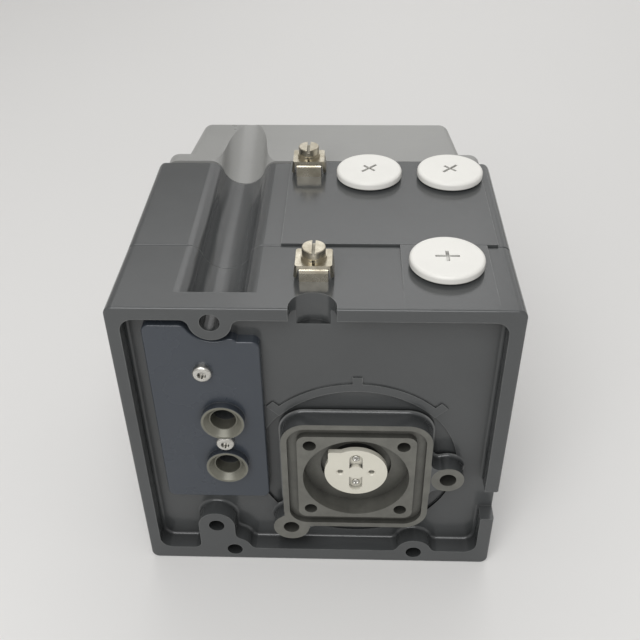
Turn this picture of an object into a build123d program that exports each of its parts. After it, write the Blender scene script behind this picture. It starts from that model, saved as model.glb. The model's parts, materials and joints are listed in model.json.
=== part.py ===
from build123d import *
import os
from math import atan2, cos, degrees, radians, sin, sqrt

os.makedirs("parts", exist_ok=True)

# Electro-pneumatic valve positioner, standing on its lower side.
# X runs across it, Y from the mounting face at the back to the cover at the front, Z is up.
# Lengths are in millimetres. A "depth" is a distance from the mounting face towards the cover.

# Housing envelope
body_width = 141.0
body_height = 132.0
frame_depth = 40.0
middle_depth = 65.5
cover_gap = 0.8
cover_flange_thickness = 6.2
cover_body_depth = 31.5
corner_radius = 3.2
top_draft = 0.9
wall = 6.0
rim_edge = 0.8
seam_edge = 0.5
seam_gap = 0.25
middle_corner = 3.6
middle_edge = 0.6

# Clearances
slip = 0.1
screw_slip = 0.05
running = 0.04
free_gap = 0.3

# Half-round channel along the top, a way in for the upper mounting bolt
channel_x = -34.0
channel_radius = 9.2
channel_sink = 2.1
channel_lip = 5.6
channel_start = 9.6
channel_wall = 4.4
channel_rise = 10.3

# Recess in the mounting face
rim_left = 4.7
rim_right = 5.4
rim_top = 5.0
rim_bottom = 6.9
recess_depth = 7.3
recess_corner = 5.0
recess_fillet = 3.0
floor_fillet = 1.2
floor_thickness = 5.7
cavity_fillet = 2.0

# Mounting bolt holes in the rim
upper_hole_radius = 3.5
lower_hole_radius = 3.2
hole_edge_distance = 6.0
left_hole_x = -35.0
right_hole_x = 39.5
blind_hole_depth = 10.5
lobe_radius = 7.4
boss_x = -41.5
boss_z = 21.0

# Square mounting flange round the feedback shaft
shaft_x = 15.0
shaft_z = 50.5
flange_size = 57.0
flange_corner = 9.5
flange_lip = 2.3
flange_groove_width = 3.7
flange_groove_depth = 2.3
flange_bolt_circle = 50.0
flange_hole_radius = 2.5
flange_hole_depth = 11.0
spigot_radius = 20.5
spigot_depth = 7.5
drive_well_radius = 13.8
drive_well_depth = 9.5
right_ear_reach = 35.4
right_ear_radius = 6.2
left_ear_x = -10.8
left_ear_z = 21.0
left_ear_radius = 7.2

# Angle scale cast on the recess floor
scale_radius = 39.3
scale_band = 3.5
scale_height = 0.6
scale_sweep = 46.5
scale_mark_angle = 45.0
scale_mark_width = 3.6
scale_mark_length = 3.1
scale_well_depth = 1.0

# Openings in the rim
top_notch_x = -0.5
top_notch_radius = 8.2
top_notch_depth = 9.9
top_notch_drop = 6.5
side_notch_low = 27.9
side_notch_high = 44.2

# Shallow bare field on the right-hand side
field_sink = 0.5
field_near = 9.0
field_far = 36.0
field_low = 66.0
field_high = 128.5
field_corner = 1.5

# Pneumatic port plate in the recess
plate_side_gap = 6.2
plate_flange_gap = 5.7
plate_low_gap = 7.7
plate_top_gap = 4.5
plate_step = 7.0
plate_step_length = 7.8
plate_face_depth = 2.8
plate_lobe_gap = 3.0
plate_corner = 3.0
plate_edge = 0.7
port_edge = 15.2
port_lift = 19.5
port_pitch = 23.6
port_collar_radius = 8.1
port_seat_radius = 7.1
port_seat_floor_radius = 5.2
port_seat_depth = 2.2
port_bore_radius = 4.8
port_bore_depth = 24.0
port_seal_radius = 7.4
port_seal_width = 1.6
port_seal_sink = 1.2
plate_screw_shift = 5.6
plate_screw_lift = 0.63
plate_screw_radius = 2.0
plate_screw_head_radius = 3.5
plate_screw_head_height = 2.3
plate_screw_length = 7.5
drive_recess_radius = 1.7
drive_recess_depth = 1.2

# Feedback coupling and shaft
coupling_radius = 12.2
coupling_nose = 10.8
coupling_nose_round = 0.8
coupling_face_depth = 3.2
coupling_thickness = 2.0
coupling_hub_radius = 8.0
coupling_slot_length = 19.5
coupling_slot_width = 5.1
coupling_slot_depth = 1.5
coupling_hole_reach = 6.1
coupling_hole_radius = 1.1
coupling_hole_sink = 1.6
coupling_hole_rim = 0.5
coupling_hub_land = 3.4
shaft_radius = 5.0
shaft_start_depth = 5.4
shaft_end_depth = 49.0
seal_radius = 10.0
seal_length = 2.5
bearing_radius = 7.0
bearing_length = 4.0
bearing_boss_radius = 11.0
bearing_boss_end = 26.0
circlip_groove = 0.6
circlip_radius = 7.4
circlip_thickness = 1.0
circlip_gap = 4.0
magnet_holder_radius = 7.0
magnet_holder_length = 6.5
magnet_holder_grip = 3.0
magnet_radius = 4.5
magnet_length = 3.0

# Conduit ports and their protective plugs
port_thread_radius = 9.25
port_boss_radius = 13.0
port_boss_drop = 8.0
plug_head_radius = 13.3
plug_head_height = 3.3
plug_head_round = 1.3
plug_rim_round = 0.7
plug_shank_length = 10.0
plug_cross_long = 8.5
plug_cross_short = 6.4
plug_cross_width = 1.2
plug_cross_depth = 1.2
plug_core_radius = 6.5
rear_port_side = 24.7
rear_port_gap = 0.2
middle_port_gap = 0.7
right_port_side = 18.1
middle_port_pitch = 33.0
plug_seal_height = 0.8
plug_seal_radius = 11.8

# Raised pads on the top face
pad_left = -13.5
pad_side = 4.8
rear_pad_half = 15.8
rear_pad_start = 1.0

# Ground terminals
near_clamp_x = -0.6
near_clamp_depth = 21.1
far_clamp_x = -5.4
far_clamp_end = 9.1
clamp_width = 12.7
clamp_length = 10.9
clamp_sheet = 1.3
clamp_leg = 1.0
clamp_height = 5.7
clamp_leg_drop = 3.9
clamp_flare = 0.7
clamp_corner = 1.3
saddle_width = 10.0
saddle_length = 9.4
saddle_sheet = 1.2
saddle_round = 2.4
clamp_screw_radius = 2.5
clamp_screw_length = 17.5
clamp_head_radius = 4.15
clamp_head_height = 3.1
clamp_slot_width = 1.2
clamp_slot_depth = 1.5
spring_washer_radius = 4.55
spring_washer_height = 1.4
spring_washer_split = 1.0
clamp_boss_radius = 5.6
clamp_boss_drop = 8.0

# Joint between the rear frame and the middle housing
frame_screw_side = 11.0
frame_screw_edge = 24.0
frame_screw_radius = 2.5
frame_screw_bite = 15.0
frame_screw_head_radius = 4.25
frame_screw_head_height = 5.0
frame_boss_radius = 5.4
hex_socket = 2.2
partition = 6.0
shaft_pass_radius = 9.0
cable_pass_radius = 5.0
cable_pass_x = -34.4
cable_pass_z = 24.0
gasket_inset = 3.4
gasket_channel_inset = 1.3
gasket_width = 1.8
gasket_sink = 1.4

# Cover and its screws
cover_low = 1.4
cover_top_step = 0.5
cover_flange_inset = 3.1
cover_corner = 5.0
cover_inset = 10.5
cover_draft_side = 3.2
cover_draft_low = 1.2
cover_draft_top = 0.3
cover_block_corner = 5.0
cover_wall = 3.4
cover_front = 4.0
cover_front_edge = 1.4
cover_screw_side = 7.3
cover_screw_edge = 9.5
cover_screw_radius = 1.75
cover_screw_head_radius = 3.0
cover_screw_head_height = 3.4
cover_screw_bite = 8.5
cover_ear_radius = 5.8
cover_ear_rise = 0.8
middle_boss_radius = 5.4
middle_boss_length = 12.0

# Window in the cover
window_width = 66.0
window_height = 36.0
window_drop = 46.0
window_corner = 4.0
pane_margin = 3.8
pane_thickness = 2.0

# Electronics
board_side = 14.5
board_low = 16.0
board_drop = 24.0
board_thickness = 1.6
standoff_length = 11.75
standoff_radius = 4.0
board_hole_inset = 5.0
small_screw_radius = 1.5
small_head_radius = 2.75
small_head_height = 2.2
small_screw_bite = 7.0
sensor_size = 10.0
sensor_height = 3.4
carrier_side = 27.5
carrier_height = 60.0
carrier_drop = 58.0
carrier_front = 16.0
carrier_thickness = 6.0
carrier_corner = 4.0
carrier_post_radius = 3.4
carrier_post_inset = 6.0
display_width = 60.0
display_height = 30.0
display_thickness = 2.5
knob_x = 26.0
knob_drop = 18.0
knob_radius = 7.5
knob_length = 8.0
knob_stem_radius = 3.0
knob_grip_radius = 1.1
knob_grip_count = 12
terminal_x = 0.0
terminal_drop = 37.0
terminal_pitch = 7.0
terminal_count = 8
terminal_height = 16.0
terminal_length = 13.0
terminal_entry_radius = 2.0
terminal_screw_radius = 2.2

# Pneumatics behind the recess floor
block_side = 1.7
block_low = 42.0
block_drop = 22.0
block_gap = 7.0
block_corner = 3.0
block_screw_radius = 2.0
block_screw_inset = 4.2
converter_radius = 12.0
converter_gap = 7.0
converter_x = -22.0
converter_z = 24.0
converter_cap_radius = 8.0
converter_cap_length = 4.0

# Stations worked out from the sizes above
seam = frame_depth
seam_height = body_height - top_draft
middle_start = seam + seam_gap
middle_end = seam + middle_depth
cover_start = middle_end + cover_gap
cover_flange_end = cover_start + cover_flange_thickness
cover_end = cover_flange_end + cover_body_depth
rear_y = -cover_end / 2
floor_back = recess_depth + floor_thickness
partition_face = middle_start + partition
channel_z = body_height - channel_sink
upper_hole_z = body_height - hole_edge_distance
lower_hole_z = hole_edge_distance
right_ear_x = shaft_x + right_ear_reach
plate_left = rim_left + plate_side_gap - body_width / 2
plate_right = shaft_x - flange_size / 2 - plate_flange_gap
plate_low = boss_z + lobe_radius + plate_low_gap
plate_high = body_height - rim_top - plate_top_gap
port_x = plate_right - port_edge
lower_port_z = plate_low + port_lift
upper_port_z = lower_port_z + port_pitch
plate_screw_z = upper_port_z + plate_screw_lift * (plate_high - plate_step - upper_port_z)
plate_screw_spots = ((port_x - plate_screw_shift, plate_screw_z),
                     (port_x, (upper_port_z + lower_port_z) / 2))
port_spots = ((port_x, upper_port_z), (port_x, lower_port_z))
rear_port_x = body_width / 2 - rear_port_side
right_port_x = body_width / 2 - right_port_side
left_port_x = right_port_x - middle_port_pitch
pad_right = body_width / 2 - pad_side
rear_port_depth = seam - plug_head_radius - rear_port_gap
middle_port_depth = middle_end - plug_head_radius - middle_port_gap
far_clamp_depth = middle_end - far_clamp_end
bolt_offset = flange_bolt_circle / 2 * sin(radians(45))
bolt_spots = [(shaft_x + a * bolt_offset, shaft_z + b * bolt_offset) for a in (-1, 1) for b in (-1, 1)]
frame_screw_x = body_width / 2 - frame_screw_side
frame_screw_spots = [(a * frame_screw_x, z) for a in (-1, 1)
                     for z in (frame_screw_edge, body_height - frame_screw_edge)]
cover_screw_x = body_width / 2 - cover_screw_side
cover_screw_spots = [(a * cover_screw_x, z) for a in (-1, 1)
                     for z in (cover_screw_edge, body_height - cover_screw_edge)]
board_width = body_width - 2 * board_side
board_height = body_height - board_low - board_drop
board_z = board_low + board_height / 2
board_depth = partition_face + standoff_length
board_face = board_depth + board_thickness
board_spots = [(a * (board_width / 2 - board_hole_inset), board_z + b * (board_height / 2 - board_hole_inset))
               for a in (-1, 1) for b in (-1, 1)]
terminal_z = body_height - terminal_drop
window_z = body_height - window_drop
carrier_width = body_width - 2 * carrier_side
carrier_z = body_height - carrier_drop
knob_z = carrier_z - knob_drop
carrier_depth = cover_end - carrier_front - carrier_thickness
carrier_face = carrier_depth + carrier_thickness
carrier_spots = [(a * (carrier_width / 2 - carrier_post_inset),
                  carrier_z + b * (carrier_height / 2 - carrier_post_inset)) for a in (-1, 1) for b in (-1, 1)]
block_width = 2 * (frame_screw_x - frame_boss_radius - block_side + port_x)
block_high = body_height - block_drop
block_face = seam - block_gap
block_length = block_face - floor_back
block_spots = ((port_x, block_low + block_screw_inset), (port_x, block_high - block_screw_inset))
converter_length = seam - converter_gap - floor_back
cover_flange_half = body_width / 2 - cover_flange_inset
cover_half_width = body_width / 2 - cover_inset
cover_high = seam_height + cover_top_step
channel_slope = (0, cover_end - cover_start, channel_rise)


def rear_plane(depth):
    # Sketch plane parallel to the mounting face: local x is X, local y is Z, its normal points back.
    return Plane(origin=(0, rear_y + depth, 0), x_dir=(1, 0, 0), z_dir=(0, -1, 0))


def top_plane(height):
    # Sketch plane parallel to the top face: local x is X, local y is the depth.
    return Plane(origin=(0, rear_y, height), x_dir=(1, 0, 0), z_dir=(0, 0, 1))


def side_plane(x):
    # Sketch plane across the housing: local x is the depth, local y is Z, its normal points along +X.
    return Plane(origin=(x, rear_y, 0), x_dir=(0, 1, 0), z_dir=(1, 0, 0))


def channel_face(top):
    # Section of the channel: a round bottom that meets the top face through two rounded lips.
    upright = 90
    span = channel_radius + channel_lip
    lip_z = top - channel_lip
    lip_x = sqrt(span ** 2 - (lip_z - channel_z) ** 2)
    touch_x = lip_x * channel_radius / span
    touch_z = channel_z + (lip_z - channel_z) * channel_radius / span
    above = top + channel_lip
    with BuildSketch() as section:
        with BuildLine():
            ThreePointArc((channel_x - touch_x, touch_z), (channel_x, channel_z - channel_radius),
                          (channel_x + touch_x, touch_z))
            CenterArc((channel_x + lip_x, lip_z), channel_lip, upright,
                      upright - degrees(atan2(touch_z - lip_z, lip_x - touch_x)))
            Polyline((channel_x + lip_x, top), (channel_x + lip_x, above),
                     (channel_x - lip_x, above), (channel_x - lip_x, top))
            CenterArc((channel_x - lip_x, lip_z), channel_lip, upright,
                      degrees(atan2(touch_z - lip_z, lip_x - touch_x)) - upright)
        make_face()
    return section.sketch


def wall_profile(inset, channel_inset):
    # Housing outline drawn in by an even inset, with the channel standing out into it.
    with BuildSketch() as profile:
        with Locations((0, body_height / 2)):
            RectangleRounded(body_width - 2 * inset, body_height - 2 * inset, corner_radius)
        with Locations((channel_x, channel_z)):
            Circle(channel_radius + channel_inset, mode=Mode.SUBTRACT)
    return profile.sketch


def gasket_ring():
    # Section of a seal that runs round the housing and under the channel.
    with BuildSketch() as ring:
        add(wall_profile(gasket_inset, gasket_channel_inset))
        add(wall_profile(gasket_inset + gasket_width, gasket_channel_inset + gasket_width), mode=Mode.SUBTRACT)
    return ring.sketch


def flange_island():
    # Outline of the square flange and its two ears, seen from the back.
    with BuildSketch() as island:
        with Locations((shaft_x, shaft_z)):
            RectangleRounded(flange_size, flange_size, flange_corner)
        with Locations((right_ear_x, shaft_z), (shaft_x + flange_size / 2, shaft_z)):
            Circle(right_ear_radius)
        with Locations((left_ear_x, left_ear_z)):
            Circle(left_ear_radius)
    return island.sketch


def plate_outline():
    # Outline of the port plate: stepped along its upper edge and cut round the upper lobe.
    with BuildSketch() as outline:
        with BuildLine():
            Polyline((plate_left, plate_low), (plate_right, plate_low), (plate_right, plate_high - plate_step),
                     (plate_right - plate_step_length, plate_high - plate_step),
                     (plate_right - plate_step_length, plate_high), (plate_left, plate_high), close=True)
        make_face()
        with Locations((left_hole_x, upper_hole_z)):
            Circle(lobe_radius + plate_lobe_gap, mode=Mode.SUBTRACT)
        offset(amount=-plate_corner)
        offset(amount=plate_corner)
    return outline.sketch


# Rear frame: an open casting that carries the mounting flange, the ports and the shaft bearing.
with BuildPart() as rear_frame:
    for depth, height in ((0, body_height), (seam, seam_height)):
        with BuildSketch(rear_plane(depth)):
            with Locations((0, height / 2)):
                RectangleRounded(body_width, height, corner_radius)
    loft()
    fillet(rear_frame.faces().sort_by(Axis.Y)[0].outer_wire().edges(), radius=rim_edge)
    fillet(rear_frame.faces().sort_by(Axis.Y)[-1].outer_wire().edges(), radius=seam_edge)

    # Level pad round the conduit port; it rises out of the sloping top towards the seam
    with BuildSketch(top_plane(body_height - wall / 2)):
        with Locations((rear_port_x, (rear_pad_start + seam) / 2)):
            Rectangle(2 * rear_pad_half, seam - rear_pad_start)
    extrude(amount=wall / 2)

    # Recess with its lobes, boss and flange left standing
    with BuildSketch(rear_plane(0)) as recess:
        inner_width = body_width - rim_left - rim_right
        inner_height = body_height - rim_top - rim_bottom
        with Locations(((rim_left - rim_right) / 2, rim_bottom + inner_height / 2)):
            RectangleRounded(inner_width, inner_height, recess_corner)
        with Locations((left_hole_x, upper_hole_z), (left_hole_x, lower_hole_z),
                       (right_hole_x, lower_hole_z), (boss_x, boss_z)):
            Circle(lobe_radius, mode=Mode.SUBTRACT)
        with Locations((boss_x, boss_z / 2)):
            Rectangle(2 * lobe_radius, boss_z, mode=Mode.SUBTRACT)
        add(flange_island(), mode=Mode.SUBTRACT)
        offset(amount=-recess_fillet)
        offset(amount=recess_fillet)
    extrude(amount=-recess_depth, mode=Mode.SUBTRACT)
    floor_edges = rear_frame.edges().filter_by(Plane.XZ).group_by(Axis.Y)
    fillet([e for group in floor_edges for e in group
            if abs(e.center().Y - rear_y - recess_depth) < seam_gap], radius=floor_fillet)

    # Shallow round well about the shaft, and the scale band with its three marks beside it
    with BuildSketch(rear_plane(recess_depth)):
        with Locations((shaft_x, shaft_z)):
            Circle(scale_radius)
        add(recess.sketch_local, mode=Mode.INTERSECT)
        add(plate_outline(), mode=Mode.SUBTRACT)
    extrude(amount=-scale_well_depth, mode=Mode.SUBTRACT)
    with BuildSketch(rear_plane(recess_depth)):
        with Locations((shaft_x, shaft_z)):
            Circle(scale_radius + scale_band)
            Circle(scale_radius, mode=Mode.SUBTRACT)
        with BuildLine():
            side_x = body_height * sin(radians(scale_sweep))
            side_z = body_height * cos(radians(scale_sweep))
            Polyline((shaft_x, shaft_z), (shaft_x - side_x, shaft_z + side_z),
                     (shaft_x + side_x, shaft_z + side_z), close=True)
        make_face(mode=Mode.INTERSECT)
        mark_middle = scale_radius + (scale_band + scale_mark_length) / 2
        for angle in (-scale_mark_angle, 0, scale_mark_angle):
            mark_x = shaft_x + mark_middle * sin(radians(angle))
            mark_z = shaft_z + mark_middle * cos(radians(angle))
            with Locations(Location((mark_x, mark_z, 0), (0, 0, -angle))):
                Rectangle(scale_mark_width, scale_band + scale_mark_length)
    extrude(amount=scale_height)

    # Cavity behind the recess floor, the corner bosses and the shaft bearing boss
    with BuildSketch(rear_plane(floor_back)):
        add(wall_profile(wall, channel_wall))
        with Locations(*frame_screw_spots):
            Circle(frame_boss_radius, mode=Mode.SUBTRACT)
        offset(amount=-cavity_fillet)
        offset(amount=cavity_fillet)
    extrude(amount=-(seam - floor_back), mode=Mode.SUBTRACT)
    with BuildSketch(rear_plane(recess_depth + scale_well_depth)):
        with Locations((shaft_x, shaft_z)):
            Circle(bearing_boss_radius)
    extrude(amount=-(bearing_boss_end - recess_depth - scale_well_depth))

    # Bosses under the top wall for the conduit port and the ground screw
    with BuildSketch(top_plane(body_height - wall / 2)):
        with Locations((rear_port_x, rear_port_depth)):
            Circle(port_boss_radius)
    extrude(amount=-(wall / 2 + port_boss_drop))
    with BuildSketch(top_plane(body_height - wall / 2)):
        with Locations((near_clamp_x, near_clamp_depth)):
            Circle(clamp_boss_radius)
    extrude(amount=-(wall / 2 + clamp_boss_drop))
    with BuildSketch(top_plane(body_height)):
        with Locations((rear_port_x, rear_port_depth)):
            Circle(port_thread_radius)
    extrude(amount=-(wall + port_boss_drop), mode=Mode.SUBTRACT)
    with BuildSketch(top_plane(body_height)):
        with Locations((near_clamp_x, near_clamp_depth)):
            Circle(clamp_screw_radius + screw_slip)
    extrude(amount=-(wall + clamp_boss_drop - channel_sink), mode=Mode.SUBTRACT)

    # Channel for the upper mounting bolt
    with BuildSketch(rear_plane(channel_start)):
        add(channel_face(body_height - top_draft * channel_start / seam))
    with BuildSketch(rear_plane(seam)):
        add(channel_face(seam_height))
    loft(mode=Mode.SUBTRACT)

    # Flange: seal groove, spigot bore, well for the coupling, seal pocket and bearing bores
    with BuildSketch(rear_plane(0)):
        with Locations((shaft_x, shaft_z)):
            groove_outer = flange_size - 2 * flange_lip
            groove_inner = groove_outer - 2 * flange_groove_width
            RectangleRounded(groove_outer, groove_outer, flange_corner - flange_lip)
            RectangleRounded(groove_inner, groove_inner, flange_corner - flange_lip - flange_groove_width,
                             mode=Mode.SUBTRACT)
    extrude(amount=-flange_groove_depth, mode=Mode.SUBTRACT)
    bearing_start = drive_well_depth + seal_length
    for radius, depth in ((spigot_radius, spigot_depth), (drive_well_radius, drive_well_depth),
                          (seal_radius, bearing_start), (bearing_radius, bearing_start + bearing_length)):
        with BuildSketch(rear_plane(0)):
            with Locations((shaft_x, shaft_z)):
                Circle(radius)
        extrude(amount=-depth, mode=Mode.SUBTRACT)
    with BuildSketch(rear_plane(bearing_start)):
        with Locations((shaft_x, shaft_z)):
            Circle(shaft_radius + free_gap)
    extrude(amount=-(bearing_boss_end - bearing_start), mode=Mode.SUBTRACT)
    with BuildSketch(rear_plane(bearing_boss_end - bearing_length)):
        with Locations((shaft_x, shaft_z)):
            Circle(bearing_radius)
    extrude(amount=-bearing_length, mode=Mode.SUBTRACT)

    # Bolt holes
    with BuildSketch(rear_plane(0)):
        with Locations(*bolt_spots):
            Circle(flange_hole_radius)
    extrude(amount=-flange_hole_depth, mode=Mode.SUBTRACT)
    with BuildSketch(rear_plane(0)):
        with Locations((left_hole_x, lower_hole_z), (right_hole_x, lower_hole_z), (boss_x, boss_z),
                       (left_ear_x, left_ear_z), (right_ear_x, shaft_z)):
            Circle(lower_hole_radius)
    extrude(amount=-blind_hole_depth, mode=Mode.SUBTRACT)
    with BuildSketch(rear_plane(0)):
        with Locations((left_hole_x, upper_hole_z)):
            Circle(upper_hole_radius)
    extrude(amount=-channel_start, mode=Mode.SUBTRACT)
    with BuildSketch(rear_plane(seam)):
        with Locations(*frame_screw_spots):
            Circle(frame_screw_radius + screw_slip)
    extrude(amount=frame_screw_bite + free_gap, mode=Mode.SUBTRACT)

    # Openings in the rim: a half-round notch in the upper wall and a slot in the right-hand wall
    notch_centre = top_notch_depth - top_notch_radius
    with BuildSketch(top_plane(body_height)):
        with Locations((top_notch_x, notch_centre)):
            Circle(top_notch_radius)
        with Locations((top_notch_x, notch_centre / 2 - rim_edge)):
            Rectangle(2 * top_notch_radius, notch_centre + 2 * rim_edge)
    extrude(amount=-(rim_top + top_notch_drop), mode=Mode.SUBTRACT)
    with BuildSketch(rear_plane(0)):
        with Locations((body_width / 2, (side_notch_low + side_notch_high) / 2)):
            Rectangle(4 * rim_right, side_notch_high - side_notch_low)
    extrude(amount=-recess_depth, mode=Mode.SUBTRACT)
    with BuildSketch(side_plane(body_width / 2)):
        with Locations(((field_near + field_far) / 2, (field_low + field_high) / 2)):
            RectangleRounded(field_far - field_near, field_high - field_low, field_corner)
    extrude(amount=-field_sink, mode=Mode.SUBTRACT)

    # Air passages to the port plate and a groove round each for its seal; threads for its screws
    with BuildSketch(rear_plane(recess_depth)):
        with Locations(*port_spots):
            Circle(port_bore_radius)
    extrude(amount=-floor_thickness, mode=Mode.SUBTRACT)
    with BuildSketch(rear_plane(recess_depth)):
        with Locations(*port_spots):
            Circle(port_seal_radius)
            Circle(port_seal_radius - port_seal_width, mode=Mode.SUBTRACT)
    extrude(amount=-port_seal_sink, mode=Mode.SUBTRACT)
    with BuildSketch(rear_plane(plate_face_depth)):
        with Locations(*plate_screw_spots):
            Circle(plate_screw_radius)
    extrude(amount=-plate_screw_length, mode=Mode.SUBTRACT)
    with BuildSketch(rear_plane(floor_back)):
        with Locations(*block_spots):
            Circle(block_screw_radius)
    extrude(amount=floor_thickness / 2, mode=Mode.SUBTRACT)
rear_frame.part.label = "rear_frame"
export_step(rear_frame.part, "parts/rear_frame.step")

# Middle housing: a frame with a partition towards the rear frame, open towards the cover.
with BuildPart() as middle_housing:
    with BuildSketch(rear_plane(middle_start)):
        with Locations((0, seam_height / 2)):
            RectangleRounded(body_width, seam_height, corner_radius)
    extrude(amount=-(middle_end - middle_start))
    fillet(middle_housing.faces().sort_by(Axis.Y)[0].outer_wire().edges(), radius=seam_edge)
    fillet(middle_housing.faces().sort_by(Axis.Y)[-1].outer_wire().edges(), radius=middle_edge)

    # Long level pad round the two conduit ports
    with BuildSketch(top_plane(body_height - wall / 2)):
        with Locations(((pad_left + pad_right) / 2, (middle_start + middle_end - middle_edge) / 2)):
            Rectangle(pad_right - pad_left, middle_end - middle_edge - middle_start)
    extrude(amount=wall / 2)

    # Both upright corners next to the cover rounded
    with BuildSketch(top_plane(0)):
        for side in (-1, 1):
            corner_x = side * (body_width / 2 - middle_corner / 2)
            with Locations((corner_x, middle_end - middle_corner / 2)):
                Rectangle(middle_corner, middle_corner)
        with Locations((middle_corner - body_width / 2, middle_end - middle_corner),
                       (body_width / 2 - middle_corner, middle_end - middle_corner)):
            Circle(middle_corner, mode=Mode.SUBTRACT)
    extrude(amount=body_height, mode=Mode.SUBTRACT)

    # Cavity in front of the partition, with the bosses for the cover screws
    with BuildSketch(rear_plane(partition_face)):
        add(wall_profile(wall, channel_wall))
        offset(amount=-cavity_fillet)
        offset(amount=cavity_fillet)
    extrude(amount=-(middle_end - partition_face), mode=Mode.SUBTRACT)
    with BuildSketch(rear_plane(middle_end)):
        with Locations(*cover_screw_spots):
            Circle(middle_boss_radius)
    extrude(amount=middle_boss_length)
    with BuildSketch(rear_plane(partition_face - partition / 2)):
        with Locations(*board_spots):
            Circle(standoff_radius)
    extrude(amount=-(board_depth - partition_face + partition / 2))

    # Bosses under the top wall, the conduit ports and the ground screw hole
    with BuildSketch(top_plane(body_height - wall / 2)):
        with Locations((left_port_x, middle_port_depth), (right_port_x, middle_port_depth)):
            Circle(port_boss_radius)
    extrude(amount=-(wall / 2 + port_boss_drop))
    with BuildSketch(top_plane(body_height - wall / 2)):
        with Locations((far_clamp_x, far_clamp_depth)):
            Circle(clamp_boss_radius)
    extrude(amount=-(wall / 2 + clamp_boss_drop))
    with BuildSketch(top_plane(body_height)):
        with Locations((left_port_x, middle_port_depth), (right_port_x, middle_port_depth)):
            Circle(port_thread_radius)
    extrude(amount=-(wall + port_boss_drop), mode=Mode.SUBTRACT)
    with BuildSketch(top_plane(body_height)):
        with Locations((far_clamp_x, far_clamp_depth)):
            Circle(clamp_screw_radius + screw_slip)
    extrude(amount=-(wall + clamp_boss_drop - channel_sink), mode=Mode.SUBTRACT)

    # Channel over the whole length
    with BuildSketch(rear_plane(middle_start)):
        add(channel_face(seam_height))
    extrude(amount=-(middle_end - middle_start), mode=Mode.SUBTRACT)

    # Seal grooves in both end faces, screw holes, and the passages through the partition
    with BuildSketch(rear_plane(middle_start)):
        add(gasket_ring())
    extrude(amount=-gasket_sink, mode=Mode.SUBTRACT)
    with BuildSketch(rear_plane(middle_end)):
        add(gasket_ring())
    extrude(amount=gasket_sink, mode=Mode.SUBTRACT)
    with BuildSketch(rear_plane(middle_start)):
        with Locations(*frame_screw_spots):
            Circle(frame_screw_radius + free_gap)
        with Locations((shaft_x, shaft_z)):
            Circle(shaft_pass_radius)
        with Locations((cable_pass_x, cable_pass_z)):
            Circle(cable_pass_radius)
    extrude(amount=-partition, mode=Mode.SUBTRACT)
    with BuildSketch(rear_plane(middle_end)):
        with Locations(*cover_screw_spots):
            Circle(cover_screw_radius + screw_slip)
    extrude(amount=cover_screw_bite + free_gap, mode=Mode.SUBTRACT)
    with BuildSketch(rear_plane(board_depth)):
        with Locations(*board_spots):
            Circle(small_screw_radius + screw_slip)
    extrude(amount=small_screw_bite + free_gap, mode=Mode.SUBTRACT)
middle_housing.part.label = "middle_housing"
export_step(middle_housing.part, "parts/middle_housing.step")

# Seal between the rear frame and the middle housing, standing out of its groove by the gap it keeps.
with BuildPart() as housing_gasket:
    with BuildSketch(rear_plane(seam)):
        add(gasket_ring())
    extrude(amount=-(gasket_sink + seam_gap))
housing_gasket.part.label = "housing_gasket"
export_step(housing_gasket.part, "parts/housing_gasket.step")

# Cover seal, standing out of its groove by the gap it keeps.
with BuildPart() as cover_gasket:
    with BuildSketch(rear_plane(middle_end - gasket_sink)):
        add(gasket_ring())
    extrude(amount=-(gasket_sink + cover_gap))
cover_gasket.part.label = "cover_gasket"
export_step(cover_gasket.part, "parts/cover_gasket.step")

# Space inside the cover; it keeps clear of the end of the channel.
channel_tilt = degrees(atan2(channel_rise, cover_end - cover_start))
channel_run = Location((channel_x, rear_y + cover_start, channel_z), (channel_tilt - 90, 0, 0))
with BuildPart() as cover_space:
    for depth, draft in ((cover_start, 0), (cover_end - cover_front, 1)):
        low = cover_low + cover_wall + draft * cover_draft_low
        high = cover_high - cover_wall - draft * cover_draft_top
        with BuildSketch(rear_plane(depth)):
            with Locations((0, (low + high) / 2)):
                RectangleRounded(2 * (cover_half_width - cover_wall - draft * cover_draft_side), high - low,
                                 cover_block_corner)
    loft()
    with Locations(channel_run):
        Cylinder(channel_radius + cover_wall, body_height, mode=Mode.SUBTRACT)

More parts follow.
